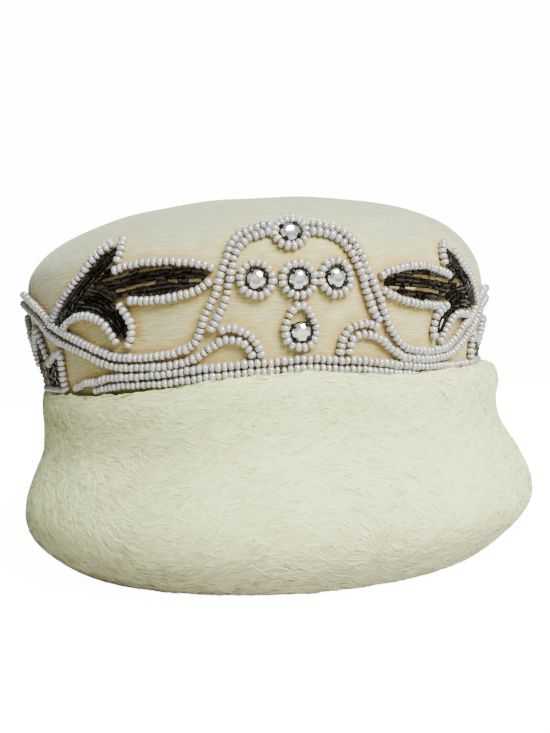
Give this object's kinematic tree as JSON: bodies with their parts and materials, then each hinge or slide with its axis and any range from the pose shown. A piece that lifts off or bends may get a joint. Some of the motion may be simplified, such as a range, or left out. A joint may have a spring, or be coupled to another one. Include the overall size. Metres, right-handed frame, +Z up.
{
  "type": "wool hat",
  "caption": "Wool felt hat with a domed crown, a wide turned-up brim, and scalloped seed bead embroidery with set stones round the crown.",
  "frame": {"origin": "on the surface that the hat rests on, under the middle of its box", "axes": "+Z up, the front with the middle arch faces -Y, +X to the right as the front is seen"},
  "size_m": [0.2312, 0.2476, 0.1574],
  "materials": {
    "felt": "short smooth cream wool felt",
    "long_felt": "long-haired brushed cream wool felt",
    "seed_bead": "opaque white glass with a pearl lustre",
    "bugle_bead": "dark glass with a metallic lining",
    "crystal": "clear cut crystal with a foiled back in a dark metal setting"
  },
  "bodies": {
    "root": {"arch_left_back": "seed_bead", "arch_left_front": "seed_bead", "arch_right_back": "seed_bead", "arch_right_front": "seed_bead", "base_row_lower_back": "seed_bead", "base_row_lower_front": "seed_bead", "base_row_upper_back": "seed_bead", "base_row_upper_front": "seed_bead", "brim": "long_felt", "crown": "felt", "hook_left_back": "seed_bead", "hook_left_front": "seed_bead", "hook_right_back": "seed_bead", "hook_right_front": "seed_bead", "leaf_spray_left_back": "bugle_bead", "leaf_spray_left_front": "bugle_bead", "leaf_spray_right_back": "bugle_bead", "leaf_spray_right_front": "bugle_bead", "palmette_left": "bugle_bead", "palmette_right": "bugle_bead", "ring_apex_back": "seed_bead", "ring_apex_front": "seed_bead", "ring_drop_back": "seed_bead", "ring_drop_front": "seed_bead", "ring_left_back": "seed_bead", "ring_left_front": "seed_bead", "ring_middle_back": "seed_bead", "ring_middle_front": "seed_bead", "ring_right_back": "seed_bead", "ring_right_front": "seed_bead", "scallop_lower_left": "seed_bead", "scallop_lower_right": "seed_bead", "scallop_upper_left": "seed_bead", "scallop_upper_right": "seed_bead", "stone_apex_back": "crystal", "stone_apex_front": "crystal", "stone_drop_back": "crystal", "stone_drop_front": "crystal", "stone_left_back": "crystal", "stone_left_front": "crystal", "stone_middle_back": "crystal", "stone_middle_front": "crystal", "stone_right_back": "crystal", "stone_right_front": "crystal"}
  },
  "joints": []
}
